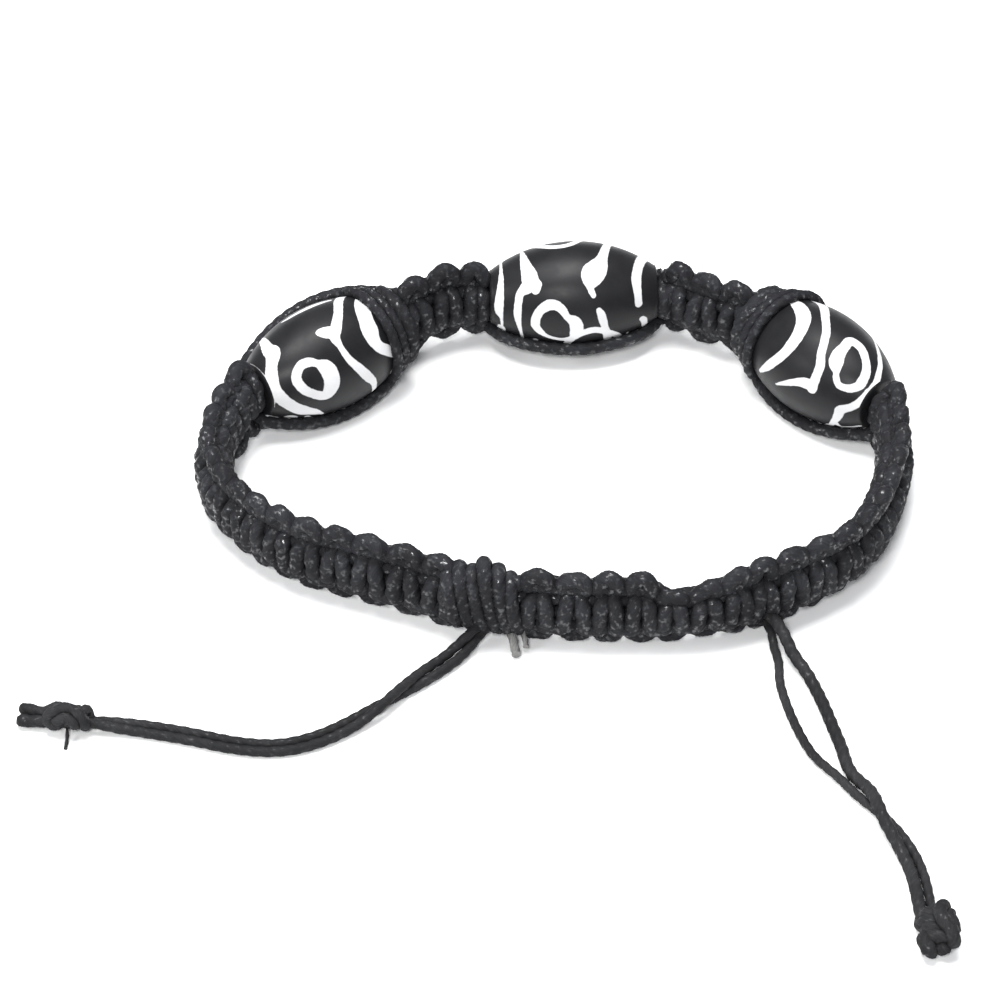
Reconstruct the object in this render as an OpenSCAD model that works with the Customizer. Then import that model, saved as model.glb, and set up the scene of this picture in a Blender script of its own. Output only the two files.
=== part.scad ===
// Macrame bracelet with three dzi beads, laid open on a table, in millimetres.
// Three drilled beads are at the back. Flat square-knot bands run round both
// sides to a sliding knot at the front, and a two-strand tie leaves each of its ends.

/* [Beads] */
// Greatest diameter of a bead
bead_d = 11.8; // [9:0.1:15]
// Length of a bead along its hole
bead_len = 18.6; // [15:0.1:22]
// Diameter of a bead at its blunt ends
bead_end_d = 5.6; // [4.6:0.1:8]
// Hole drilled through a bead
bore_d = 2.5; // [2.2:0.1:3.2]
// Chamfer at the two mouths of the hole
bore_chamfer = 0.25; // [0.1:0.05:0.5]

/* [Knotted band] */
// Height of the band over its edge loops
band_w = 9.6; // [8:0.1:12]
// Thickness of the band over its knots
band_t = 4.0; // [3:0.1:5.5]
// Depth of the notch between two edge loops
notch = 0.75; // [0.2:0.05:1.2]
// Depth of the groove between two half knots
groove = 0.3; // [0.1:0.05:0.8]
// Outward lean of the band's upper edge, in degrees
lean = 11; // [0:1:25]
// Length of one whole square knot in the outer bands
knot_len = 3.4; // [3:0.1:4.2]
// Length of one whole square knot in the sliding knot
slide_knot_len = 3.3; // [3:0.1:4.2]

/* [Cords] */
// Diameter of the knotting cord where it passes beside a bead
side_d = 1.4; // [1:0.05:1.8]
// Diameter of a core strand, which is also a tie strand
strand_d = 1.1; // [0.8:0.05:1.4]
// Distance between the two core strands in a bead
strand_gap = 1.05; // [0.8:0.05:1.2]
// Clearance of a side cord from its bead
side_clear = 0.16; // [0.03:0.01:0.3]

/* [Hidden] */
band_sides = 14;          // corners of a band's cross-section
knot_rings = 6;           // sections in one whole square knot
cord_sides = 8;
band_z = 4.78;            // height of the band's middle where it stands on the table
seat = 0.15;              // from a bead's blunt end to the band next to it
bead_half = bead_len / 2 + seat;
side_r = side_d / 2;
strand_r = strand_d / 2;
cap_half_w = 4.35;        // half height of a band at its blunt end
bead_cap_half_t = 1.45;   // half thickness of a band where it meets a bead
blunt_half_t = 1.75;      // half thickness of the sliding knot at its two ends
neck_len = 1.5;           // narrow end of an outer band, beside the sliding knot
neck_half = [2.1, 1.25];  // half height and half thickness of the neck
neck_shift = 1.2;         // the neck sits above the middle, over the tie
neck_step = 0.2;          // length over which the band narrows to its neck, each way
shoulder_half = [4.0, 1.6];

// Brings the middle of the loop to the origin
home = [0.4, -2.4, 0];

// Beads: middle of the bead, the turn of its hole from +X about +Z, and the outward lean
// of the bands that meet it
// columns: x, y, z, turn, lean
bead_left_at = [-25.0, 14.0, bead_d / 2, 38, lean];
bead_middle_at = [2.1, 25.1, bead_d / 2, 3, lean];
bead_right_at = [28.8, 13.0, bead_d / 2, -49.5, 4];

// Side cords: how far the cord has slipped round the bead at mid length, in degrees
// from straight up or straight down. Upper cords slip outward, lower cords inward.
// columns: upper, lower
slip_left = [60, 44];
slip_middle = [84, 60];
slip_right = [82, 42];

// Routes of the bands, counterclockwise seen from above. Ends at a bead come from the bead.
outer_left_route = [
  [-34.6, 4.4, 5.5], [-36.2, 0.6, 5.0], [-36.4, -3.7, band_z], [-35.2, -7.8, band_z],
  [-32.7, -11.6, band_z], [-29.2, -14.9, band_z], [-24.9, -17.4, band_z],
  [-20.2, -19.2, band_z], [-15.8, -21.0, band_z], [-11.8, -22.8, band_z],
  [-8.4, -24.0, band_z], [-6.9, -24.3, band_z]];
slide_route = [
  [-6.9, -24.3, band_z], [-2.0, -24.9, band_z], [3.2, -25.2, band_z], [8.4, -25.3, band_z],
  [13.0, -25.3, band_z], [17.2, -24.5, band_z], [20.6, -23.2, band_z]];
outer_right_route = [
  [20.6, -23.2, band_z], [22.2, -22.5, band_z], [25.0, -21.0, band_z], [28.3, -18.8, band_z],
  [31.2, -16.0, band_z], [33.4, -12.3, band_z], [34.9, -8.0, band_z], [35.8, -3.4, band_z],
  [35.9, 1.0, 5.0]];
inner_right_route = [[20.3, 21.4, 5.6], [17.4, 22.9, 5.5], [14.5, 24.4, 5.7]];
inner_left_route = [[-9.8, 24.2, 5.9], [-12.5, 23.4, 5.9], [-15.2, 21.7, 5.9]];

// Routes of the tie strands, from the sliding knot to the end knot
tie_left_a_route = [
  [-6.9, -24.3, 1.5], [-7.8, -25.0, 1.3], [-8.7, -26.4, 1.0], [-10.4, -28.8, 0.7],
  [-13.6, -31.8, 0.6], [-17.0, -34.4, 0.6], [-21.2, -37.4, 0.6], [-24.8, -39.7, 0.6],
  [-28.5, -40.8, 0.6], [-32.5, -40.4, 0.6], [-36.8, -39.1, 0.6], [-41.4, -38.1, 0.6],
  [-44.8, -37.7, 0.6], [-47.55, -37.6, 0.6]];
tie_left_b_route = [
  [-6.95, -24.5, 2.8], [-8.0, -25.2, 2.7], [-9.4, -26.3, 2.3], [-11.6, -28.2, 1.5],
  [-14.2, -31.1, 1.7], [-16.9, -35.2, 1.8], [-20.3, -38.6, 0.8], [-24.3, -41.1, 0.6],
  [-28.3, -42.2, 0.6], [-32.7, -41.8, 0.6], [-37.2, -40.6, 0.6], [-41.6, -39.5, 0.6],
  [-44.8, -38.9, 0.85], [-47.65, -38.5, 1.35]];
tie_right_a_route = [
  [20.6, -23.2, 1.5], [21.6, -23.8, 1.4], [22.0, -25.4, 1.1], [22.1, -28.2, 0.6],
  [22.5, -32.4, 0.6], [23.5, -37.4, 0.6], [25.1, -42.2, 0.6], [27.2, -45.8, 0.6],
  [29.6, -48.6, 0.6], [32.1, -51.6, 0.6], [34.3, -55.3, 0.6], [35.3, -59.4, 0.6],
  [35.7, -65.35, 0.6]];
tie_right_b_route = [
  [20.75, -23.55, 2.8], [21.9, -24.2, 2.8], [22.9, -26.0, 2.3], [24.5, -28.8, 1.3],
  [25.7, -31.9, 0.7], [26.7, -35.3, 0.6], [27.7, -39.6, 0.6], [28.7, -43.4, 0.6],
  [29.8, -46.4, 0.9], [30.8, -49.3, 1.75], [31.6, -52.8, 1.75], [33.0, -56.4, 0.7],
  [33.9, -60.0, 0.6], [34.5, -65.55, 0.6]];
tie_ring_step = 2.9;      // distance between two sections of a tie strand

// End knots, from the tie to the tip
// columns: distance along, side shift, half width, half height
knot_left_at = [-47.6, -38.05, 173];
knot_left_table = [
  [0, 0, 1.0, 0.95], [0.6, 0.5, 1.4, 1.2], [1.5, 1.1, 1.8, 1.35], [2.6, 1.0, 1.75, 1.3],
  [3.6, 0.8, 1.4, 1.1], [4.8, 0.5, 1.15, 0.9], [6.2, 0.3, 1.0, 0.8],
  [7.1, 0.2, 0.7, 0.6], [7.5, 0.2, 0.35, 0.35]];
knot_right_at = [35.1, -65.45, -80];
knot_right_table = [
  [0, 0, 1.25, 0.65], [0.5, 0, 1.7, 1.2], [1.5, 0.05, 2.1, 1.6], [2.8, 0.1, 2.15, 1.7],
  [4.2, 0.15, 2.0, 1.6], [5.4, 0.15, 1.4, 1.2], [6.0, 0.15, 0.7, 0.7]];

// Small vector helpers
function unit(v) = v / norm(v);
function heading(turn) = [cos(turn), sin(turn), 0];
function place(at) = [at[0], at[1], at[2]];
function bead_end(at, side) = place(at) + side * bead_half * heading(at[3]);
function mix(a, b, t) = a + (b - a) * t;

// Smooth curve through a route, leaving and arriving along two given directions
function smooth(p0, p1, p2, p3, t) =
  p1 + 0.5 * t * (p2 - p0 + t * (2 * p0 - 5 * p1 + 4 * p2 - p3
  + t * (3 * (p1 - p2) + p3 - p0)));
function with_ends(route, d0, d1) = let (n = len(route)) concat(
  [route[1] - 2 * norm(route[1] - route[0]) * unit(d0)], route,
  [route[n - 2] + 2 * norm(route[n - 1] - route[n - 2]) * unit(d1)]);
function curve(route, d0, d1, steps = 12) =
  let (p = with_ends(route, d0, d1), n = len(route))
  concat([for (i = [0:n - 2], k = [0:steps - 1])
    smooth(p[i], p[i + 1], p[i + 2], p[i + 3], k / steps)], [route[n - 1]]);
function lengths(pts) = [for (i = 0, s = 0; i < len(pts);
  s = s + (i + 1 < len(pts) ? norm(pts[i + 1] - pts[i]) : 0), i = i + 1) s];
function segment(cum, s, lo, hi) = hi - lo <= 1 ? lo :
  let (mid = floor((lo + hi) / 2)) cum[mid] <= s ? segment(cum, s, mid, hi)
  : segment(cum, s, lo, mid);
function along(pts, cum, s) =
  let (i = segment(cum, s, 0, len(cum) - 1))
  mix(pts[i], pts[i + 1], (s - cum[i]) / (cum[i + 1] - cum[i]));

// Skin over equal rings of corners, closed by flat ends
module skin(rings) {
  n = len(rings[0]);
  m = len(rings);
  polyhedron(
    points = [for (r = rings, p = r) p],
    faces = concat([[for (j = [0:n - 1]) j]],
      [for (i = [0:m - 2], j = [0:n - 1], k = [0, 1])
        let (a = i * n + j, b = i * n + (j + 1) % n)
        k == 0 ? [a, a + n, b] : [b, a + n, b + n]],
      [[for (j = [n - 1:-1:0]) (m - 1) * n + j]]),
    convexity = 6);
}

// Cross-section of a band: half width a, half thickness b, moved by shift along its width
function band_ring(centre, dir, a, b, shift, tilt) =
  let (flat = unit([dir[0], dir[1], 0]), out = [flat[1], -flat[0], 0],
    rise = unit(cross(out, dir)),
    w_dir = cos(tilt) * rise + sin(tilt) * out,
    n_dir = cos(tilt) * out - sin(tilt) * rise)
  [for (j = [0:band_sides - 1])
    let (t = 360 * j / band_sides, c = cos(t), s = sin(t))
    centre + w_dir * (shift + a * sign(c) * pow(abs(c), 0.75))
    + n_dir * b * sign(s) * pow(abs(s), 0.6)];

// Shape of the band at a place inside a knot, phase 0 to 1 over one whole square knot
function knot_a(phase) = band_w / 2 - notch * (1 - pow(abs(sin(180 * phase)), 0.6));
function knot_b(phase) = band_t / 2 - groove * (1 - pow(abs(sin(360 * phase)), 0.6));

// Stations along a band: distance along, half width, half thickness, shift
function knot_stations(from, to, pitch) =
  let (count = max(1, round((to - from) / pitch * 2)) / 2, step = (to - from) / count)
  [for (i = [1:count * knot_rings - 1]) let (phase = i / knot_rings)
    [from + phase * step, knot_a(phase), knot_b(phase), 0]];
function neck_station(s) = [s, neck_half[0], neck_half[1], neck_shift];

// A band along a route. Each end is at a bead ("bead"), beside the sliding knot ("neck")
// or the blunt end of the sliding knot itself ("blunt")
module band(route, d0, d1, pitch, end0, end1, tilt0, tilt1) {
  pts = curve(route, d0, d1);
  cum = lengths(pts);
  total = cum[len(cum) - 1];
  from = end0 == "neck" ? neck_len : 0;
  to = total - (end1 == "neck" ? neck_len : 0);
  start = end0 == "neck"
    ? [neck_station(0), neck_station(from - neck_step),
       [from + neck_step, shoulder_half[0], shoulder_half[1], 0]]
    : [[0, cap_half_w, end0 == "bead" ? bead_cap_half_t : blunt_half_t, 0]];
  finish = end1 == "neck"
    ? [[to - neck_step, shoulder_half[0], shoulder_half[1], 0],
       neck_station(to + neck_step), neck_station(total)]
    : [[total, cap_half_w, end1 == "bead" ? bead_cap_half_t : blunt_half_t, 0]];
  stations = concat(start, knot_stations(from, to, pitch), finish);
  last = len(stations) - 1;
  skin([for (i = [0:last]) let (q = stations[i], s = q[0], e = 0.05)
    band_ring(i == 0 ? route[0] : i == last ? route[len(route) - 1] : along(pts, cum, s),
      i == 0 ? unit(d0) : i == last ? unit(d1)
      : unit(along(pts, cum, min(total, s + e)) - along(pts, cum, max(0, s - e))),
      q[1], q[2], q[3], mix(tilt0, tilt1, s / total))]);
}

// Ring of a round cord, square to its direction
function cord_ring(centre, dir, r) =
  let (u = unit(cross(dir, abs(dir[2]) > 0.8 ? [1, 0, 0] : [0, 0, 1])), v = cross(u, dir))
  [for (j = [0:cord_sides - 1]) let (t = 360 * (j + 0.5) / cord_sides)
    centre + r * (u * cos(t) + v * sin(t)) / cos(180 / cord_sides)];

// A tie strand along its route, no lower than the table
module strand(route, d0, d1) {
  pts = curve(route, d0, d1);
  cum = lengths(pts);
  total = cum[len(cum) - 1];
  n = round(total / tie_ring_step);
  skin([for (i = [0:n]) let (s = total * i / n, e = 0.05)
    cord_ring(i == 0 ? route[0] : i == n ? route[len(route) - 1] : along(pts, cum, s),
      i == 0 ? unit(d0) : i == n ? unit(d1)
      : unit(along(pts, cum, min(total, s + e)) - along(pts, cum, max(0, s - e))),
      strand_r)]);
}

// Outline of a bead: a long barrel curve with rounded blunt ends
barrel_r = (pow(bead_len / 2, 2) + pow((bead_d - bead_end_d) / 2, 2)) / (bead_d - bead_end_d);
module bead(at) {
  translate(place(at)) rotate([0, 0, at[3]]) rotate([0, 90, 0])
    rotate_extrude($fn = 96) difference() {
      intersection() {
        translate([bead_d / 2 - barrel_r, 0]) circle(r = barrel_r, $fn = 360);
        translate([bore_d / 2, -bead_len / 2]) square([bead_d / 2, bead_len]);
      }
      for (side = [-1, 1]) translate([bore_d / 2, side * bead_len / 2]) rotate(45)
        square(bore_chamfer * sqrt(2), center = true);
    }
}

// Two core strands side by side through a bead, from band to band
module core_cord(at) {
  translate(place(at)) rotate([0, 0, at[3]]) rotate([0, 90, 0])
    for (side = [-1, 1]) translate([side * strand_gap / 2, 0, -bead_half])
      cylinder(d = strand_d, h = 2 * bead_half, $fn = 32);
}

// A knotting cord that bows over (up = 1) or under (up = -1) a bead, close to its side
function bow_r(x) = bead_d / 2 - barrel_r + sqrt(pow(barrel_r + side_r + side_clear, 2) - x * x);
function bow_point(at, up, slip, f) =
  let (x = bead_half * f, axis = heading(at[3]), out = [-axis[1], axis[0], 0],
    turn = at[4] + (slip - at[4]) * sqrt(max(0, 1 - pow(abs(f), 4))))
  place(at) + x * axis + up * bow_r(x) * (cos(turn) * [0, 0, 1] + sin(turn) * out);
module side_cord(at, up, slip) {
  n = 14;
  axis = heading(at[3]);
  skin([for (i = [0:n]) let (f = -cos(180 * i / n) * 0.35 + (2 * i / n - 1) * 0.65, e = 0.02)
    cord_ring(bow_point(at, up, slip, f), i == 0 || i == n ? axis
      : unit(bow_point(at, up, slip, f + e) - bow_point(at, up, slip, f - e)), side_r)]);
}

// An end knot, lying on the table
module end_knot(at, table) {
  translate([at[0], at[1], 0]) rotate([0, 0, at[2]])
    skin([for (q = table) [for (j = [0:11]) let (t = 360 * (j + 0.5) / 12)
      [q[0], q[1] + q[2] * cos(t), q[3] + 0.03 + q[3] * sin(t) / cos(15)]]]);
}

module bead_left() color([0.06, 0.06, 0.07]) translate(home) bead(bead_left_at);
module bead_middle() color([0.06, 0.06, 0.07]) translate(home) bead(bead_middle_at);
module bead_right() color([0.06, 0.06, 0.07]) translate(home) bead(bead_right_at);
module core_cord_left() color([0.09, 0.09, 0.1]) translate(home) core_cord(bead_left_at);
module core_cord_middle() color([0.09, 0.09, 0.1]) translate(home) core_cord(bead_middle_at);
module core_cord_right() color([0.09, 0.09, 0.1]) translate(home) core_cord(bead_right_at);
module side_cord_left_upper() color([0.1, 0.1, 0.1]) translate(home)
  side_cord(bead_left_at, 1, slip_left[0]);
module side_cord_left_lower() color([0.1, 0.1, 0.1]) translate(home)
  side_cord(bead_left_at, -1, slip_left[1]);
module side_cord_middle_upper() color([0.1, 0.1, 0.1]) translate(home)
  side_cord(bead_middle_at, 1, slip_middle[0]);
module side_cord_middle_lower() color([0.1, 0.1, 0.1]) translate(home)
  side_cord(bead_middle_at, -1, slip_middle[1]);
module side_cord_right_upper() color([0.1, 0.1, 0.1]) translate(home)
  side_cord(bead_right_at, 1, slip_right[0]);
module side_cord_right_lower() color([0.1, 0.1, 0.1]) translate(home)
  side_cord(bead_right_at, -1, slip_right[1]);

module band_left_outer() color([0.12, 0.12, 0.12]) translate(home) band(
  concat([bead_end(bead_left_at, -1)], outer_left_route),
  -heading(bead_left_at[3]), slide_route[1] - slide_route[0], knot_len, "bead", "neck",
  bead_left_at[4], lean);
module sliding_knot() color([0.12, 0.12, 0.12]) translate(home) band(
  slide_route, slide_route[1] - slide_route[0],
  slide_route[6] - slide_route[5], slide_knot_len, "blunt", "blunt", lean, lean);
module band_right_outer() color([0.12, 0.12, 0.12]) translate(home) band(
  concat(outer_right_route, [bead_end(bead_right_at, 1)]),
  slide_route[6] - slide_route[5], -heading(bead_right_at[3]), knot_len, "neck", "bead",
  lean, bead_right_at[4]);
module band_right_inner() color([0.12, 0.12, 0.12]) translate(home) band(
  concat([bead_end(bead_right_at, -1)], inner_right_route, [bead_end(bead_middle_at, 1)]),
  -heading(bead_right_at[3]), -heading(bead_middle_at[3]), knot_len, "bead", "bead",
  bead_right_at[4], bead_middle_at[4]);
module band_left_inner() color([0.12, 0.12, 0.12]) translate(home) band(
  concat([bead_end(bead_middle_at, -1)], inner_left_route, [bead_end(bead_left_at, 1)]),
  -heading(bead_middle_at[3]), -heading(bead_left_at[3]), knot_len, "bead", "bead",
  bead_middle_at[4], bead_left_at[4]);

module tie_left_a() color([0.1, 0.1, 0.1]) translate(home)
  strand(tie_left_a_route, slide_route[0] - slide_route[1], heading(knot_left_at[2]));
module tie_left_b() color([0.1, 0.1, 0.1]) translate(home)
  strand(tie_left_b_route, slide_route[0] - slide_route[1], heading(knot_left_at[2]));
module tie_right_a() color([0.1, 0.1, 0.1]) translate(home)
  strand(tie_right_a_route, slide_route[6] - slide_route[5], heading(knot_right_at[2]));
module tie_right_b() color([0.1, 0.1, 0.1]) translate(home)
  strand(tie_right_b_route, slide_route[6] - slide_route[5], heading(knot_right_at[2]));
module end_knot_left() color([0.1, 0.1, 0.1]) translate(home)
  end_knot(knot_left_at, knot_left_table);
module end_knot_right() color([0.1, 0.1, 0.1]) translate(home)
  end_knot(knot_right_at, knot_right_table);

bead_left();
bead_middle();
bead_right();
core_cord_left();
core_cord_middle();
core_cord_right();
side_cord_left_upper();
side_cord_left_lower();
side_cord_middle_upper();
side_cord_middle_lower();
side_cord_right_upper();
side_cord_right_lower();
band_left_inner();
band_right_inner();
band_left_outer();
band_right_outer();
sliding_knot();
tie_left_a();
tie_left_b();
tie_right_a();
tie_right_b();
end_knot_left();
end_knot_right();
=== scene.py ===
import math

import bpy
import numpy as np
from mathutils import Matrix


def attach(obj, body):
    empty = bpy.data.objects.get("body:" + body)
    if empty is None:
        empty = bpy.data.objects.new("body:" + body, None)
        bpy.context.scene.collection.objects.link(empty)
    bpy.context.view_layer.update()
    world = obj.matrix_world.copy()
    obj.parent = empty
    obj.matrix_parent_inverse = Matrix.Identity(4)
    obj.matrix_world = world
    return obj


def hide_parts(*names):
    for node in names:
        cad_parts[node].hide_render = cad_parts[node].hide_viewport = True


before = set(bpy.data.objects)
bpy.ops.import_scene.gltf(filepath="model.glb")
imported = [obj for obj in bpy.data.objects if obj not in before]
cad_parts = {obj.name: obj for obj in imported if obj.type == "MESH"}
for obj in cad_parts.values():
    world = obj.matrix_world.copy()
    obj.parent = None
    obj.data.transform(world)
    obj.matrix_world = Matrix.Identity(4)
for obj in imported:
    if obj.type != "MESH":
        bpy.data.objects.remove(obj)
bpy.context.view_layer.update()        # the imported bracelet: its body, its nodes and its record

scene = bpy.context.scene

# The view and the studio
# The bracelet lies on a plain white table and is seen from in front and well above,
# through a long lens, under one broad soft light with two weaker ones beside it.
mm = 0.001
camera_height_deg = 41
camera_target = np.array([-5.6, -5.4, 0.0])
camera_distance = 450.0
camera_lens = 151.4
camera_sensor = 36
sky_colour = (0.93, 0.96, 1.0, 1)
sky_strength = 0.38
table_half = 1500.0
table_colour = (0.92, 0.92, 0.92, 1)


def in_scene(name, data):
    """A new object of the scene, at its origin."""
    thing = bpy.data.objects.new(name, data)
    scene.collection.objects.link(thing)
    return thing


def studio_light(name, place, target, size, watts):
    """A soft rectangular light at a place in millimetres, turned towards a target."""
    lamp = bpy.data.lights.new(name, "AREA")
    lamp.shape = "RECTANGLE"
    lamp.size = size[0] * mm
    lamp.size_y = size[1] * mm
    lamp.energy = watts
    lamp_object = in_scene(name, lamp)
    lamp_object.location = np.array(place) * mm
    aim = (np.array(target) - np.array(place)).astype(float)
    turn = math.atan2(aim[0], -aim[1])
    drop = math.atan2(math.hypot(aim[0], aim[1]), -aim[2])
    lamp_object.rotation_euler = (drop, 0, turn + math.pi)


camera = in_scene("camera", bpy.data.cameras.new("camera"))
camera.data.lens = camera_lens
camera.data.sensor_width = camera_sensor
camera.data.clip_start = 0.01
camera.data.clip_end = 10
down = math.radians(camera_height_deg)
back_off = np.array([0, -math.cos(down), math.sin(down)]) * camera_distance
camera.location = (camera_target + back_off) * mm
camera.rotation_euler = (math.pi / 2 - down, 0, 0)
scene.camera = camera
scene.view_settings.view_transform = "Standard"

world = bpy.data.worlds.new("studio")
scene.world = world
world.use_nodes = True
sky = world.node_tree.nodes["Background"]
sky.inputs["Color"].default_value = sky_colour
sky.inputs["Strength"].default_value = sky_strength
studio_light("top_light", place=(-40, 60, 560), target=(0, 0, 0), size=(360, 300), watts=5.0)
studio_light("front_light", place=(-60, -430, 420), target=(0, -10, 0), size=(130, 110), watts=2.2)
studio_light("left_light", place=(-420, -160, 260), target=(0, -10, 0), size=(160, 160), watts=0.8)

table_mesh = bpy.data.meshes.new("table")
half = table_half * mm
table_mesh.from_pydata([(-half, -half, 0), (half, -half, 0), (half, half, 0), (-half, half, 0)],
                       [], [(0, 1, 2, 3)])
table = in_scene("table", table_mesh)
table_paint = bpy.data.materials.new("table_paint")
table_paint.use_nodes = True
table_shader = table_paint.node_tree.nodes["Principled BSDF"]
table_shader.inputs["Base Color"].default_value = table_colour
table_shader.inputs["Roughness"].default_value = 0.9
table_shader.inputs["Specular IOR Level"].default_value = 0.1
table_mesh.materials.append(table_paint)


# The ties
# Two pairs of loose core strands, 1.1 mm black waxed cotton cord of three plies, that come
# out of the sliding knot's two ends, lie on the table and are knotted together at their tips.
strand_across = 1.1
tie_clearance = 0.03
# every route and place is drawn from the photo's plan; this moves it to the frame's origin
home = np.array([0.4, -2.4, 0.0])
tie_routes = {
    "tie_left_a": [
        (-6.9, -24.3, 1.5), (-7.8, -25.0, 1.3), (-8.7, -26.4, 1.0), (-10.4, -28.8, 0.7),
        (-13.6, -31.8, 0.6), (-17.0, -34.4, 0.6), (-21.2, -37.4, 0.6), (-24.8, -39.7, 0.6),
        (-28.5, -40.8, 0.6), (-32.5, -40.4, 0.6), (-36.8, -39.1, 0.6), (-41.4, -38.1, 0.6),
        (-44.8, -37.7, 0.6), (-47.55, -37.6, 0.6)],
    "tie_left_b": [
        (-6.95, -24.5, 2.8), (-8.0, -25.2, 2.5), (-9.4, -26.4, 1.8), (-11.5, -28.3, 0.95),
        (-14.2, -31.2, 1.15), (-16.9, -35.1, 1.75), (-20.3, -38.6, 0.8), (-24.3, -41.1, 0.6),
        (-28.3, -42.2, 0.6), (-32.7, -41.8, 0.6), (-37.2, -40.6, 0.6), (-41.6, -39.5, 0.6),
        (-44.8, -38.9, 0.85), (-47.65, -38.5, 1.35)],
    "tie_right_a": [
        (20.6, -23.2, 1.5), (21.6, -23.8, 1.4), (22.0, -25.4, 1.1), (22.1, -28.2, 0.6),
        (22.5, -32.4, 0.6), (23.5, -37.4, 0.6), (25.1, -42.2, 0.6), (27.2, -45.8, 0.6),
        (29.6, -48.6, 0.6), (32.1, -51.6, 0.6), (34.3, -55.3, 0.6), (35.3, -59.4, 0.6),
        (35.7, -65.35, 0.6)],
    "tie_right_b": [
        (20.75, -23.55, 2.8), (21.9, -24.2, 2.8), (22.9, -26.0, 2.3), (24.5, -28.8, 1.3),
        (25.7, -31.9, 0.7), (26.7, -35.3, 0.6), (27.7, -39.6, 0.6), (28.7, -43.4, 0.6),
        (29.8, -46.4, 0.9), (30.8, -49.3, 1.75), (31.6, -52.8, 1.75), (33.0, -56.4, 0.7),
        (33.9, -60.0, 0.6), (34.5, -65.55, 0.6)]}
# one strand of the right pair is thicker than the others, and its fellow thinner
tie_across = {"tie_left_a": strand_across, "tie_left_b": strand_across, "tie_right_a": 1.0,
              "tie_right_b": 1.35}
tie_start_turn = {"left": 173.0, "right": 21.0}
tie_end_turn = {"left": 173.0, "right": -80.0}
# a pair is drawn together where its strands run nearer than this, and fully where they run
# nearer still by this
tie_near = 3.0
tie_nearer_by = 0.9


def unit(v):
    """A direction of length one."""
    v = np.asarray(v, float)
    return v / np.linalg.norm(v)


def heading(degrees):
    """The level direction at an angle from +X."""
    turn = math.radians(degrees)
    return np.array([math.cos(turn), math.sin(turn), 0.0])


def smooth_through(points, steps):
    """A smooth line from the second point to the last but one, aimed by the two outer ones."""
    line = []
    for i in range(len(points) - 3):
        p0, p1, p2, p3 = points[i:i + 4]
        for k in range(steps):
            t = k / steps
            line.append(0.5 * (2 * p1 + (p2 - p0) * t + (2 * p0 - 5 * p1 + 4 * p2 - p3) * t ** 2
                               + (3 * p1 - p0 - 3 * p2 + p3) * t ** 3))
    line.append(points[-2])
    return np.array(line)


def smooth_route(route, start_dir, end_dir, steps=12):
    """A smooth line through a route's points that leaves and arrives in given directions."""
    route = np.array(route, float)
    before = route[1] - 2 * np.linalg.norm(route[1] - route[0]) * unit(start_dir)
    after = route[-2] + 2 * np.linalg.norm(route[-1] - route[-2]) * unit(end_dir)
    return smooth_through(np.vstack([before, route, after]), steps)


def lengths_along(line):
    """The distance along a line at each of its points."""
    return np.concatenate([[0], np.cumsum(np.linalg.norm(np.diff(line[:, :3], axis=0), axis=1))])


def spread(line, count):
    """The same line, with whatever else is kept at its points, as evenly spaced points."""
    far = lengths_along(line)
    at = np.linspace(0, far[-1], count)
    return np.column_stack([np.interp(at, far, column) for column in line.T])


def even_steps(line, gap):
    """The same line in even steps of about a gap."""
    return spread(line, max(2, int(round(lengths_along(line)[-1] / gap)) + 1))


def eased(line, passes):
    """A line with its sharp turns rounded; its ends stay."""
    line = line.copy()
    for _ in range(passes):
        line[1:-1] = 0.5 * line[1:-1] + 0.25 * (line[:-2] + line[2:])
    return line


def new_tree(name, sockets):
    """A Geometry Nodes tree with named inputs, each a label, a kind and a usual value."""
    tree = bpy.data.node_groups.new(name, "GeometryNodeTree")
    for label, kind, usual in sockets:
        socket = tree.interface.new_socket(label, in_out="INPUT", socket_type=kind)
        if usual is not None:
            socket.default_value = usual
    tree.interface.new_socket("Geometry", in_out="OUTPUT", socket_type="NodeSocketGeometry")
    return tree


def wire(tree, *ends):
    """Links node outputs to node inputs, given in pairs."""
    for source, target in zip(ends[::2], ends[1::2]):
        tree.links.new(source, target)


def math_node(tree, operation, first, second=None, third=None):
    """A Math node on up to three numbers or sockets; gives its output."""
    node = tree.nodes.new("ShaderNodeMath")
    node.operation = operation
    for socket, value in zip(node.inputs, (first, second, third)):
        if isinstance(value, (int, float)):
            socket.default_value = value
        elif value is not None:
            tree.links.new(value, socket)
    return node.outputs[0]


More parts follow.
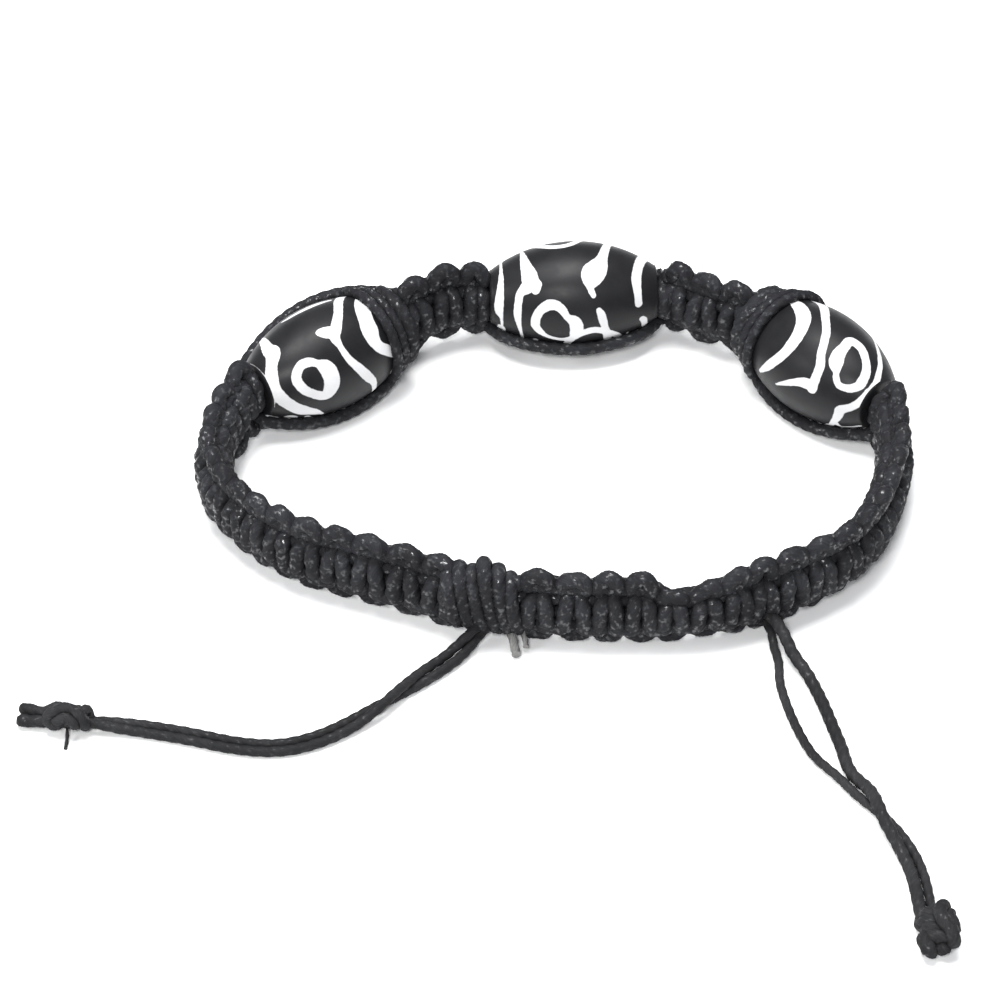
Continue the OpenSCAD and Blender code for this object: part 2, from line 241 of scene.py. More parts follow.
def build_laid_cord():
    """Cord of three plies twisted round each other, drawn along every line of a curve.

    The points' radius is the cord's. Each point keeps its place round and along the cord
    in the attribute "strand", for the fibres of the material."""
    tree = new_tree("laid_cord", [
        ("Geometry", "NodeSocketGeometry", None),
        ("Sides", "NodeSocketInt", 18),
        ("Plies", "NodeSocketInt", 3),
        ("Ply Relief", "NodeSocketFloat", 0.06),
        ("Lay", "NodeSocketFloat", 4.2 * mm),
        ("Material", "NodeSocketMaterial", None)])
    new = tree.nodes.new
    enter = new("NodeGroupInput")
    leave = new("NodeGroupOutput")
    place = new("GeometryNodeSplineParameter")
    keep_along = new("GeometryNodeCaptureAttribute")
    keep_along.capture_items.new("FLOAT", "along")
    turns = math_node(tree, "DIVIDE", place.outputs["Length"], enter.outputs["Lay"])
    tilt = new("GeometryNodeSetCurveTilt")
    wire(tree,
         enter.outputs["Geometry"], keep_along.inputs["Geometry"],
         place.outputs["Length"], keep_along.inputs[1],
         keep_along.outputs["Geometry"], tilt.inputs["Curve"],
         math_node(tree, "MULTIPLY", turns, 2 * math.pi), tilt.inputs["Tilt"])

    ring = new("GeometryNodeCurvePrimitiveCircle")
    ring.inputs["Radius"].default_value = 1
    ring_place = new("GeometryNodeSplineParameter")
    round_ring = math_node(tree, "MULTIPLY", ring_place.outputs["Factor"], 2 * math.pi)
    keep_round = new("GeometryNodeCaptureAttribute")
    keep_round.capture_items.new("FLOAT", "round")
    lobe = math_node(tree, "COSINE", math_node(tree, "MULTIPLY", round_ring, enter.outputs["Plies"]))
    swell = math_node(tree, "MULTIPLY_ADD", lobe, enter.outputs["Ply Relief"], 1.0)
    shrink = math_node(tree, "SUBTRACT", swell, enter.outputs["Ply Relief"])
    where = new("GeometryNodeInputPosition")
    scaled = new("ShaderNodeVectorMath")
    scaled.operation = "SCALE"
    lobed = new("GeometryNodeSetPosition")
    wire(tree,
         enter.outputs["Sides"], ring.inputs["Resolution"],
         ring.outputs["Curve"], keep_round.inputs["Geometry"],
         round_ring, keep_round.inputs[1],
         keep_round.outputs["Geometry"], lobed.inputs["Geometry"],
         where.outputs["Position"], scaled.inputs[0],
         shrink, scaled.inputs["Scale"],
         scaled.outputs["Vector"], lobed.inputs["Position"])

    skin = new("GeometryNodeCurveToMesh")
    skin.inputs["Fill Caps"].default_value = True
    thickness = new("GeometryNodeInputRadius")
    strand = new("ShaderNodeCombineXYZ")
    store = new("GeometryNodeStoreNamedAttribute")
    store.data_type = "FLOAT_VECTOR"
    store.domain = "POINT"
    store.inputs["Name"].default_value = "strand"
    smooth = new("GeometryNodeSetShadeSmooth")
    realize = new("GeometryNodeRealizeInstances")
    dress = new("GeometryNodeSetMaterial")
    wire(tree,
         tilt.outputs["Curve"], skin.inputs["Curve"],
         lobed.outputs["Geometry"], skin.inputs["Profile Curve"],
         thickness.outputs["Radius"], skin.inputs["Scale"],
         math_node(tree, "COSINE", keep_round.outputs[1]), strand.inputs["X"],
         math_node(tree, "SINE", keep_round.outputs[1]), strand.inputs["Y"],
         math_node(tree, "MULTIPLY", keep_along.outputs[1], 1 / mm), strand.inputs["Z"],
         skin.outputs["Mesh"], store.inputs["Geometry"],
         strand.outputs["Vector"], store.inputs["Value"],
         store.outputs["Geometry"], smooth.inputs["Geometry"],
         smooth.outputs["Geometry"], realize.inputs["Geometry"],
         realize.outputs["Geometry"], dress.inputs["Geometry"],
         enter.outputs["Material"], dress.inputs["Material"],
         dress.outputs["Geometry"], leave.inputs["Geometry"])
    return tree


laid_cord = build_laid_cord()


def plain_mesh(name, shaped_by, tree, settings):
    """The mesh that a Geometry Nodes tree makes of a curve or mesh, as a piece of its own."""
    guide = in_scene(name + "_guide", shaped_by)
    modifier = guide.modifiers.new("shape", "NODES")
    modifier.node_group = tree
    for item in tree.interface.items_tree:
        if item.item_type == "SOCKET" and item.in_out == "INPUT" and item.name in settings:
            modifier[item.identifier] = settings[item.name]
    seen = guide.evaluated_get(bpy.context.evaluated_depsgraph_get())
    mesh = bpy.data.meshes.new_from_object(seen)
    guide.modifiers.remove(modifier)
    bpy.data.objects.remove(guide)
    mesh.name = name
    return in_scene(name, mesh)


def lay_cord(name, runs, material, sides=18, relief=0.06, lay=4.2):
    """One piece of cord: each run is a line of points in millimetres and its radius or radii."""
    guide = bpy.data.curves.new(name, "CURVE")
    guide.dimensions = "3D"
    for line, radius in runs:
        spline = guide.splines.new("POLY")
        spline.points.add(len(line) - 1)
        corners = np.column_stack([np.array(line) * mm, np.ones(len(line))])
        spline.points.foreach_set("co", corners.ravel())
        spline.points.foreach_set("radius", np.ones(len(line)) * radius * mm)
    return plain_mesh(name, guide, laid_cord, {
        "Sides": sides, "Ply Relief": relief, "Lay": lay * mm, "Material": material})


def new_shader_group(name, inputs, outputs):
    """A shader node group with named inputs and outputs; gives it with its two end nodes."""
    group = bpy.data.node_groups.new(name, "ShaderNodeTree")
    for label, kind, usual in inputs:
        socket = group.interface.new_socket(label, in_out="INPUT", socket_type=kind)
        if usual is not None:
            socket.default_value = usual
    for label, kind in outputs:
        group.interface.new_socket(label, in_out="OUTPUT", socket_type=kind)
    return group, group.nodes.new("NodeGroupInput"), group.nodes.new("NodeGroupOutput")


def noise(tree, where, scale, detail=2.0, rough=0.5):
    """A noise texture read at a vector; gives its value."""
    node = tree.nodes.new("ShaderNodeTexNoise")
    node.inputs["Scale"].default_value = scale
    node.inputs["Detail"].default_value = detail
    node.inputs["Roughness"].default_value = rough
    tree.links.new(where, node.inputs["Vector"])
    return node.outputs["Fac"]


def stretched(tree, where, factors):
    """A vector with each of its parts multiplied."""
    node = tree.nodes.new("ShaderNodeVectorMath")
    node.operation = "MULTIPLY"
    node.inputs[1].default_value = factors
    tree.links.new(where, node.inputs[0])
    return node.outputs["Vector"]


def ramp(tree, value, low, high, out_low=0.0, out_high=1.0):
    """Maps a value's range to another smoothly; gives the result."""
    node = tree.nodes.new("ShaderNodeMapRange")
    node.interpolation_type = "SMOOTHSTEP"
    node.inputs["From Min"].default_value = low
    node.inputs["From Max"].default_value = high
    node.inputs["To Min"].default_value = out_low
    node.inputs["To Max"].default_value = out_high
    tree.links.new(value, node.inputs["Value"])
    return node.outputs["Result"]


def colour_mix(tree, share, first, second):
    """Mixes two colours, each of them three numbers or a socket; gives the result."""
    node = tree.nodes.new("ShaderNodeMix")
    node.data_type = "RGBA"
    tree.links.new(share, node.inputs["Factor"])
    for socket, colour in zip((node.inputs[6], node.inputs[7]), (first, second)):
        if isinstance(colour, tuple):
            socket.default_value = (*colour, 1)
        else:
            tree.links.new(colour, socket)
    return node.outputs[2]


def bumped(tree, height, strength, distance):
    """The normal of a surface that follows a height; a distance is in millimetres."""
    node = tree.nodes.new("ShaderNodeBump")
    node.inputs["Strength"].default_value = strength
    node.inputs["Distance"].default_value = distance * mm
    tree.links.new(height, node.inputs["Height"])
    return node.outputs["Normal"]


def build_cord_fibre():
    """Cotton fibres lying along the plies, with shiny flecks where the wax has gathered, which the
    materials also colour lighter as a painted highlight.
    """
    group, enter, leave = new_shader_group(
        "cord_fibre",
        [("Strand", "NodeSocketVector", None),
         ("Place", "NodeSocketVector", None),
         ("Wax", "NodeSocketFloat", 0.5)],
        [("Fibre", "NodeSocketFloat"), ("Fleck And Highlight", "NodeSocketFloat"),
         ("Tone", "NodeSocketFloat"), ("Height", "NodeSocketFloat")])
    strand = enter.outputs["Strand"]
    place = enter.outputs["Place"]
    along_fibres = stretched(group, strand, (5.0, 5.0, 1.1))
    along_lumps = stretched(group, strand, (1.3, 1.3, 1.6))
    fibre = noise(group, along_fibres, scale=1.0, detail=4.0, rough=0.65)
    lump = noise(group, along_lumps, scale=1.0)
    patch = noise(group, place, scale=1 / (0.55 * mm), detail=3.0, rough=0.6)
    tone = noise(group, place, scale=1 / (6.0 * mm), detail=1.0)
    # patches where the wax has gathered: shiny through roughness and coat, and also a painted highlight
    # where the materials lighten their colour
    wax_and_highlight_patch = ramp(group, patch, low=0.52, high=0.68)
    fleck_and_highlight = math_node(group, "MULTIPLY", wax_and_highlight_patch, enter.outputs["Wax"])
    fibre_part = math_node(group, "MULTIPLY", fibre, 0.6)
    height = math_node(group, "MULTIPLY_ADD", lump, 0.5, fibre_part)
    height = math_node(group, "MULTIPLY_ADD", fleck_and_highlight, 0.35, height)
    wire(group, fibre, leave.inputs["Fibre"], fleck_and_highlight, leave.inputs["Fleck And Highlight"],
         tone, leave.inputs["Tone"], height, leave.inputs["Height"])
    return group


cord_fibre = build_cord_fibre()


def waxed_cotton(name, dark, light, dull, shiny, wax, bump=0.6):
    """Waxed cotton between a dark and a light colour, rougher where it is dull, and coloured lighter on
    its shiny wax flecks as a painted highlight.
    """
    material = bpy.data.materials.new(name)
    material.use_nodes = True
    tree = material.node_tree
    shader = tree.nodes["Principled BSDF"]
    shader.inputs["Specular IOR Level"].default_value = 0.12
    shader.inputs["Coat Roughness"].default_value = 0.22
    strand = tree.nodes.new("ShaderNodeAttribute")
    strand.attribute_name = "strand"
    place = tree.nodes.new("ShaderNodeTexCoord")
    fibre = tree.nodes.new("ShaderNodeGroup")
    fibre.node_tree = cord_fibre
    fibre.inputs["Wax"].default_value = wax
    tone = ramp(tree, fibre.outputs["Tone"], 0.3, 0.7, out_low=-0.15, out_high=0.2)
    amount = math_node(tree, "MULTIPLY_ADD", fibre.outputs["Fibre"], 1.1, tone)
    # the wax flecks also lighten the colour: a painted highlight; their lower roughness and their coat
    # are real shine
    amount = math_node(tree, "MULTIPLY_ADD", fibre.outputs["Fleck And Highlight"], 0.5, amount)
    colour = colour_mix(tree, ramp(tree, amount, 0.3, 1.3), dark, light)
    wire(tree,
         strand.outputs["Vector"], fibre.inputs["Strand"],
         place.outputs["Object"], fibre.inputs["Place"],
         colour, shader.inputs["Base Color"],
         ramp(tree, fibre.outputs["Fleck And Highlight"], 0.0, 0.8, dull, shiny), shader.inputs["Roughness"],
         fibre.outputs["Fleck And Highlight"], shader.inputs["Coat Weight"],
         bumped(tree, fibre.outputs["Height"], bump, 0.08), shader.inputs["Normal"])
    return material


def drawn_together(line, fellow, apart):
    """A tie moved halfway towards its fellow where the two run close, until they touch."""
    moved = line.copy()
    for i, point in enumerate(line):
        gaps = fellow[:, :2] - point[:2]
        nearest = gaps[np.argmin(np.linalg.norm(gaps, axis=1))]
        gap = np.linalg.norm(nearest)
        if gap > apart:
            near = np.clip((tie_near - gap) / tie_nearer_by, 0, 1)
            moved[i, :2] += 0.5 * near * (gap - apart) * nearest / gap
    return moved


tie_cotton = waxed_cotton("tie_cotton", dark=(0.013, 0.013, 0.014), light=(0.038, 0.038, 0.040),
                          dull=0.7, shiny=0.5, wax=0.25)
ties = {}
for name, route in tie_routes.items():
    side = name.split("_")[1]
    line = smooth_route(np.array(route) + home, heading(tie_start_turn[side]),
                        heading(tie_end_turn[side]))
    ties[name] = even_steps(line, 0.28)
for side in ("left", "right"):
    a, b = "tie_%s_a" % side, "tie_%s_b" % side
    apart = (tie_across[a] + tie_across[b]) / 2
    drawn_a = drawn_together(ties[a], ties[b], apart)
    drawn_b = drawn_together(ties[b], ties[a], apart)
    for name, line in ((a, drawn_a), (b, drawn_b)):
        ties[name] = eased(line, passes=20)
        ties[name][:, 2] = np.maximum(ties[name][:, 2], tie_across[name] / 2 + tie_clearance)


# The end knots
# Each pair of ties ends in one tight overhand knot tied with both strands together: they twist
# round each other three half turns, go back over the outside and leave as two cut tails.
end_knots = {
    "left": {"turn": 173.0, "barrel_long": 2.4, "tail_long": 3.3, "half_wide": 2.4,
             "half_high": 1.8, "across": 1.25},
    "right": {"turn": -80.0, "barrel_long": 2.7, "tail_long": 0.0, "half_wide": 2.5,
              "half_high": 2.1, "across": 1.5}}
# half the width that the pair's middle line is drawn with, and how far the pair reaches past it
drawn_half = 0.75
pair_half = 0.55
cord_step = 0.27
upward = np.array([0, 0, 1.0])
# lengths of cord over which the two strands change places, join the ties, and part, swell and
# thin at their cut tips
order_from_tie = 1.6
order_from_tip = 2.5
join_from_tie = 1.5
spread_from_tip = 3.0
taper_from_tip = 0.5
# a thread hanging out of the left knot towards the front
loose_thread = np.array([
    (-49.1, -40.8, 1.3), (-49.0, -42.2, 0.7), (-49.05, -42.9, 0.3), (-49.1, -43.6, 0.25)])
loose_thread_radius = 0.22


def fading(distance, reach):
    """One at no distance, falling evenly to nought at a reach."""
    return np.clip(1 - distance / reach, 0, 1)


def as_run(line, radius):
    """A run of cord in even steps, from a line and the cord's radius at each of its points."""
    steps = even_steps(np.column_stack([line, radius]), cord_step)
    return steps[:, :3], steps[:, 3]


def pair_middle(barrel_long, tail_long):
    """The line between a knot's two strands: through the barrel, back over it, and out."""
    first = 0.5
    last = first + barrel_long
    twist = np.linspace(0, 3 * math.pi, 25)
    far = np.linspace(first, last, 25)
    aside = 0.38 * np.cos(twist)
    above = 0.38 * np.sin(twist)
    line = [(-0.5, 0.0, 0.0), (0.1, 0.15, 0.0)]
    line += list(zip(far, aside, above))
    line += [(last + 0.5, -0.5, 0.3), (last + 0.2, -0.55, 0.6), (0.5 * last + 0.3, -0.3, 0.85),
             (0.6, -0.5, 0.62), (0.2, -0.6, 0.15)]
    line += list(zip(far, -aside, -above))
    line += [(last + 0.6, 0.2, -0.15), (last + 1.2, 0.0, -0.25), (last + 0.8 + tail_long, 0.1, -0.3)]
    return eased(even_steps(np.array(line), 0.08), passes=30)


def overhand_knot(starts, turn, barrel_long, tail_long, half_wide, half_high, across):
    """The two strands of an overhand knot that begins at the ends of the two ties."""
    start = (starts[0] + starts[1]) / 2
    along = heading(turn)
    aside = np.array([along[1], -along[0], 0])
    centre = pair_middle(barrel_long, tail_long)
    centre[:, 1] *= (half_wide - pair_half) / drawn_half
    centre[:, 2] *= (half_high - pair_half) / drawn_half
    ahead = np.gradient(centre, axis=0)
    ahead /= np.linalg.norm(ahead, axis=1)[:, None]
    from_axis = centre * [0, 1, 1]
    beside = np.cross(ahead, from_axis)
    from_tie = lengths_along(centre)
    to_tip = from_tie[-1] - from_tie
    near_tie = fading(from_tie, order_from_tie)[:, None]
    near_tip = fading(to_tip, order_from_tip)[:, None]
    order = 1 if np.dot(starts[0] - starts[1], aside) > 0 else -1
    beside = beside / np.maximum(np.linalg.norm(beside, axis=1), 0.05)[:, None]
    beside = beside * (1 - near_tie) * (1 - near_tip) + near_tie * [0, order, 0] + near_tip * [0, 1, 0]
    beside = eased(beside, passes=60)
    beside /= np.linalg.norm(beside, axis=1)[:, None]
    spread_out = fading(to_tip, spread_from_tip)[:, None]
    thick = across / 2 * (1 + 0.15 * spread_out[:, 0] - 0.5 * fading(to_tip, taper_from_tip) ** 2)
    strands = []
    for way, begin in ((1, starts[0]), (-1, starts[1])):
        at = centre + way * (0.5 + 0.35 * spread_out) * beside
        strand = start + at[:, :1] * along + at[:, 1:2] * aside + at[:, 2:] * upward
        strand[:, 2] += 0.8 * half_high - start[2]
        strand += fading(from_tie, join_from_tie)[:, None] * (begin - 0.5 * along - strand[0])
        strand[:, 2] = np.maximum(strand[:, 2], across / 2 + 0.05)
        strands.append(as_run(strand, thick))
    return strands


for side, sizes in end_knots.items():
    pair = ["tie_%s_a" % side, "tie_%s_b" % side]
    strands = overhand_knot([ties[name][-1] for name in pair], **sizes)
    if side == "left":
        strands.append((loose_thread, loose_thread_radius))
    knot = lay_cord("overhand_knot_" + side, strands, tie_cotton, sides=16)
    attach(knot, "root")
    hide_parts("end_knot_" + side)
    for name in pair:
        line = ties[name]
        tie = lay_cord(name + "_strand", [(line, tie_across[name] / 2)], tie_cotton, sides=16)
        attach(tie, "root")
        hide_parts(name)


# The dzi beads
# Three barrel beads of black agate, drilled along their length, with lines of white drawn
# into the stone by the old soda process: eyes, bands and thorns. They are polished to satin.
bead_across = 11.8
bead_length = 18.6
bead_end_across = 5.6
bore_across = 2.5
bead_edge_round = 0.25
bead_sectors = 180
bead_rings = 121
bead_reach = bead_length / 2
bead_swell = bead_across - bead_end_across
barrel_radius = (bead_reach ** 2 + (bead_swell / 2) ** 2) / bead_swell
# each bead's middle, and its hole's turn from +X
bead_places = {
    "left": ((-25.0, 14.0, 5.9), 38.0),
    "middle": ((2.1, 25.1, 5.9), 3.0),
    "right": ((28.8, 13.0, 5.9), -49.5)}
# the thinnest that a white line gets
thinnest_mark = 0.05
# Each mark is a name and its points: millimetres along the hole, degrees round the bead from
# the top towards the front, half width of the line. An eye's line closes on itself.
# Most of these numbers were printed by a separate script, from places of the lines on the
# photo, and rounded; the others were moved or added by hand.
bead_marks = {
    "middle": [
        ("end line", [(-7.9, -60, 0.15), (-8.0, -5, 0.15), (-8.1, 25, 0.3), (-8.3, 55, 0.45),
                      (-8.4, 80, 0.45), (-8.1, 100, 0.15), (-8.0, 160, 0.15)]),
        ("band", [(-5.8, -60, 0.15), (-5.6, -25, 0.2), (-5.4, 5, 0.5), (-5.0, 27, 0.85),
                  (-5.0, 38, 0.85), (-6.0, 48, 0.45), (-6.3, 62, 0.4), (-6.4, 82, 0.4),
                  (-6.1, 105, 0.2), (-5.6, 140, 0.15)]),
        ("thorn", [(-4.8, 33, 0.6), (-4.2, 39, 0.5), (-4.4, 46, 0.45)]),
        ("eye", [(-4.5, 87, 0.5), (-4.0, 71, 0.5), (-2.8, 63, 0.6), (-1.7, 67, 0.5),
                 (-1.0, 77, 0.4), (-0.1, 84, 0.7), (0.0, 98, 0.7), (-0.4, 107, 0.45),
                 (-1.8, 110, 0.25), (-3.2, 106, 0.3), (-4.1, 98, 0.45)]),
        ("top eye", [(-4.5, -42, 0.4), (-3.4, -24, 0.45), (-2.0, -14, 0.45), (-0.3, -17, 0.45),
                     (0.9, -35, 0.4), (1.1, -55, 0.4), (0.2, -75, 0.45), (-2.0, -84, 0.45),
                     (-4.0, -72, 0.4), (-4.8, -57, 0.4)]),
        ("scratch", [(-2.4, -34, 0.1), (-1.0, -33, 0.15)]),
        ("band", [(4.4, -60, 0.3), (4.1, -36, 0.4), (3.2, 5, 0.55), (2.5, 22, 1.1),
                  (1.9, 31, 1.25), (1.6, 44, 0.45), (1.9, 54, 0.3)]),
        ("band", [(2.5, 71, 0.3), (2.8, 78, 0.45), (3.2, 95, 0.4), (3.5, 111, 0.45),
                  (3.7, 150, 0.3)]),
        ("end line", [(8.1, -60, 0.4), (8.0, -35, 0.5), (7.1, 12, 0.5), (6.8, 33, 0.55),
                      (6.9, 52, 0.45), (7.0, 70, 0.4)]),
        ("end line", [(7.4, 98, 0.3), (7.7, 110, 0.35), (7.9, 150, 0.2)])],
    "left": [
        ("top stroke", [(-3.4, -36, 0.15), (-2.6, -32, 0.3), (-0.9, -29, 0.42),
                        (0.9, -27, 0.42), (2.5, -25, 0.2)]),
        ("end line", [(-9.1, -62, 0.06), (-9.1, 100, 0.06)]),
        ("band", [(-5.6, -70, 0.3), (-5.9, -52, 0.3), (-7.0, -14, 0.6), (-7.1, 3, 0.8),
                  (-7.9, 17, 0.6), (-8.5, 34, 0.6), (-8.8, 58, 0.6), (-8.3, 82, 0.65),
                  (-7.4, 99, 0.7), (-6.2, 111, 0.8), (-5.0, 117, 0.6), (-3.7, 127, 0.15)]),
        ("eye", [(-6.5, 54, 0.5), (-5.7, 42, 0.5), (-4.7, 42, 0.5), (-3.9, 48, 0.4),
                 (-3.2, 57, 0.85), (-3.0, 70, 0.9), (-3.3, 82, 0.85), (-4.0, 89, 0.6),
                 (-5.2, 83, 0.5), (-6.2, 71, 0.5)]),
        ("band", [(5.4, -50, 0.3), (4.6, -35, 0.4), (2.8, -13, 0.5), (1.4, 6, 0.5),
                  (0.1, 20, 0.6), (-0.8, 30, 0.6), (-0.8, 42, 0.35), (-0.5, 57, 0.4),
                  (0.4, 72, 0.5), (1.4, 87, 0.55), (2.3, 101, 0.4), (3.0, 125, 0.3)]),
        ("thorn", [(-0.6, 25, 0.75), (-1.4, 21, 0.7), (-2.0, 18, 0.4)]),
        ("end line", [(7.0, -45, 0.7), (6.5, -20, 0.8), (4.5, 9, 0.9), (3.8, 26, 0.95),
                      (3.5, 39, 1.1), (3.4, 51, 0.85), (3.9, 63, 0.65), (5.0, 73, 0.6),
                      (6.5, 90, 0.4)])],
    "right": [
        ("end line", [(-7.7, 8, 0.1), (-7.9, -5, 0.15), (-7.5, -13, 0.2), (-6.0, -11, 0.4),
                      (-4.1, -4, 0.7), (-2.2, 7, 0.8), (-1.2, 17, 0.8), (-0.6, 30, 0.75),
                      (-0.5, 43, 0.7), (-0.8, 56, 0.6), (-1.5, 68, 0.55), (-2.3, 79, 0.5),
                      (-3.6, 95, 0.2)]),
        ("band", [(-5.5, -50, 0.15), (-4.4, -36, 0.3), (-2.7, -28, 0.55), (0.0, -5, 0.45),
                  (1.5, 8, 0.45), (2.4, 20, 0.45), (3.1, 33, 0.45), (3.8, 45, 0.5),
                  (4.0, 60, 0.5), (4.0, 72, 0.6)]),
        ("thorn", [(4.0, 70, 0.6), (3.2, 70, 0.6), (2.2, 74, 0.45), (0.9, 82, 0.3),
                   (-0.7, 93, 0.1)]),
        ("eye", [(4.1, -4, 0.55), (5.3, -9, 0.55), (6.7, -2, 0.45), (7.7, 11, 0.45),
                 (8.1, 32, 0.45), (7.6, 47, 0.4), (6.6, 52, 0.35), (5.9, 46, 0.35),
                 (5.6, 40, 0.3), (4.9, 30, 0.75), (4.5, 20, 0.7), (4.3, 9, 0.55)]),
        ("band", [(3.1, -55, 0.15), (5.2, -42, 0.25), (6.9, -30, 0.3), (8.1, -15, 0.3),
                  (9.0, 9, 0.3), (9.1, 37, 0.3), (8.9, 61, 0.35), (8.3, 77, 0.4),
                  (7.4, 88, 0.5), (7.2, 100, 0.45), (6.5, 118, 0.35), (5.1, 144, 0.2)]),
        ("thorn", [(6.6, 120, 0.3), (6.9, 134, 0.2), (8.0, 134, 0.2), (8.9, 131, 0.2)])]}


def barrel(x):
    """Radius of a bead at a distance from its middle."""
    return bead_across / 2 - barrel_radius + np.sqrt(np.maximum(barrel_radius ** 2 - x ** 2, 0))


def bead_frame(side):
    """A bead's middle, the direction of its hole and the level direction square to that."""
    place, turn = bead_places[side]
    axis = heading(turn)
    return np.array(place) + home, axis, np.array([-axis[1], axis[0], 0])


def smooth_mark(points, closed):
    """A mark's points on a smooth line through them."""
    points = np.array(points, float)
    if closed:
        padded = np.vstack([points[-1], points, points[:2]])
    else:
        padded = np.vstack([2 * points[0] - points[1], points, 2 * points[-1] - points[-2]])
    line = smooth_through(padded, steps=6)
    line[:, 2] = np.maximum(line[:, 2], thinnest_mark)
    return line


def ink_depth(x, turn, marks):
    """How far inside a white line each place on a bead lies, in mm; below nought outside."""
    radius = barrel(x)
    best = np.full(len(x), -2.0)
    for label, points in marks:
        seen = smooth_mark(points, closed="eye" in label)
        # the bead's hidden side is a guess: the same marks, turned end for end
        hidden = seen * [-1, 1, 1] + [0, 180, 0]
        for line in (seen, hidden):
            for a, b in zip(line[:-1], line[1:]):
                middle = (a[1] + b[1]) / 2
                from_middle = (turn - middle + 180) % 360 - 180
                px = x - a[0]
                py = np.radians(from_middle + middle - a[1]) * radius
                dx = b[0] - a[0]
                dy = np.radians(b[1] - a[1]) * radius
                t = np.clip((px * dx + py * dy) / np.maximum(dx * dx + dy * dy, 1e-9), 0, 1)
                gap = np.hypot(px - t * dx, py - t * dy)
                best = np.maximum(best, a[2] + t * (b[2] - a[2]) - gap)
    return best


def polished_stone(name, dark, dark_cloud, pale, pale_cloud):
    """Polished black stone with white lines where the attribute "ink" is above nought."""
    material = bpy.data.materials.new(name)
    material.use_nodes = True
    tree = material.node_tree
    shader = tree.nodes["Principled BSDF"]
    shader.inputs["IOR"].default_value = 1.54
    shader.inputs["Specular IOR Level"].default_value = 0.17
    ink = tree.nodes.new("ShaderNodeAttribute")
    ink.attribute_name = "ink"
    place = tree.nodes.new("ShaderNodeTexCoord").outputs["Object"]
    edge = noise(tree, place, scale=1 / (0.5 * mm), detail=3.0, rough=0.6)
    cloud = noise(tree, place, scale=1 / (2.5 * mm), detail=4.0, rough=0.6)
    grain = noise(tree, place, scale=1 / (0.25 * mm), rough=0.6)
    ragged = math_node(tree, "MULTIPLY_ADD", edge, 0.16, -0.08)
    white = ramp(tree, math_node(tree, "ADD", ink.outputs["Fac"], ragged), -0.05, 0.05)
    base = colour_mix(tree, white, colour_mix(tree, cloud, dark, dark_cloud),
                      colour_mix(tree, cloud, pale, pale_cloud))
    sheen = ramp(tree, cloud, 0.3, 0.7, out_low=0.38, out_high=0.50)
    rough = math_node(tree, "MULTIPLY_ADD", white, 0.12, sheen)
    height = math_node(tree, "MULTIPLY_ADD", white, -0.8, math_node(tree, "MULTIPLY", grain, 0.25))
    wire(tree,
         base, shader.inputs["Base Color"],
         rough, shader.inputs["Roughness"],
         bumped(tree, height, 0.38, 0.05), shader.inputs["Normal"])
    return material


def bead_profile():
    """A bead's outline turned round its hole: place, radius, whether it lies on the barrel."""
    hole = bore_across / 2
    barrel_end = bead_reach - bead_edge_round
    edge = barrel(barrel_end)
    profile = [(x, barrel(x), True) for x in np.linspace(-barrel_end, barrel_end, bead_rings)]
    for side in (1, -1):
        end = side * bead_reach
        ring = [(end - side * bead_edge_round * 0.35, edge - 0.06), (end, edge - 0.3),
                (end, hole + 0.3), (end - side * 0.08, hole + 0.08), (end - side * 0.3, hole)]
        profile += [(x, r, False) for x, r in ring[::side]]
        if side == 1:
            profile += [(x, hole, False) for x in np.linspace(bead_reach - 1, 1 - bead_reach, 9)]
    return [np.array(column) for column in zip(*profile)]


def turned_bead(name, side, marks):
    """A bead turned round its drilled hole, closed through the hole, with its marks stored."""
    x, r, on_barrel = bead_profile()
    rings = len(x)
    grid_x = np.repeat(x, bead_sectors)
    grid_r = np.repeat(r, bead_sectors)
    grid_turn = np.tile(np.arange(bead_sectors) * 360 / bead_sectors, rings)
    middle, axis, out = bead_frame(side)
    angle = np.radians(grid_turn)
    points = (middle + grid_x[:, None] * axis
              + grid_r[:, None] * (np.cos(angle)[:, None] * upward - np.sin(angle)[:, None] * out))
    faces = []
    for i in range(rings):
        here = i * bead_sectors
        there = (i + 1) % rings * bead_sectors
        for j in range(bead_sectors):
            after = (j + 1) % bead_sectors
            faces.append((here + j, here + after, there + after, there + j))
    mesh = bpy.data.meshes.new(name)
    mesh.from_pydata((points * mm).tolist(), [], faces)
    ink = np.where(np.repeat(on_barrel, bead_sectors), ink_depth(grid_x, grid_turn, marks), -1.0)
    mesh.attributes.new("ink", "FLOAT", "POINT").data.foreach_set("value", ink.astype(np.float32))
    mesh.shade_smooth()
    mesh.update()
    return in_scene(name, mesh)


dzi_stone = polished_stone("dzi_stone", dark=(0.007, 0.007, 0.008), dark_cloud=(0.014, 0.014, 0.0155),
                           pale=(0.56, 0.56, 0.57), pale_cloud=(0.72, 0.72, 0.73))
for side in bead_places:
    bead = turned_bead("dzi_bead_" + side, side, bead_marks[side])
    bead.data.materials.append(dzi_stone)
    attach(bead, "root")
    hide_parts("bead_" + side)


# The core strands through the beads
# Two 1.1 mm strands of black waxed cotton, one above the other, run through each bead's hole
# from band to band and carry the bead.
core_gap = 1.05
# how far from a bead's middle the bands beside it begin
bead_half = 9.45
core_cotton = waxed_cotton("core_cotton", dark=(0.010, 0.010, 0.011), light=(0.035, 0.035, 0.037),
                           dull=0.6, shiny=0.45, wax=0.5)
for side in bead_places:
    middle, axis, _ = bead_frame(side)
    runs = []
    for level in (-1, 1):
        ends = [middle + level * core_gap / 2 * upward + end * axis for end in (-bead_half, bead_half)]
        runs.append((even_steps(np.array(ends), 0.35), strand_across / 2))
    core = lay_cord("core_strands_" + side, runs, core_cotton)
    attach(core, "root")
    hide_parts("core_cord_" + side)


# The side cords
# Beside each bead the two 1.4 mm working cords pass from the band before it to the band
# after it: one over the top or down behind the bead, one along the front of its lower face.
side_across = 1.4
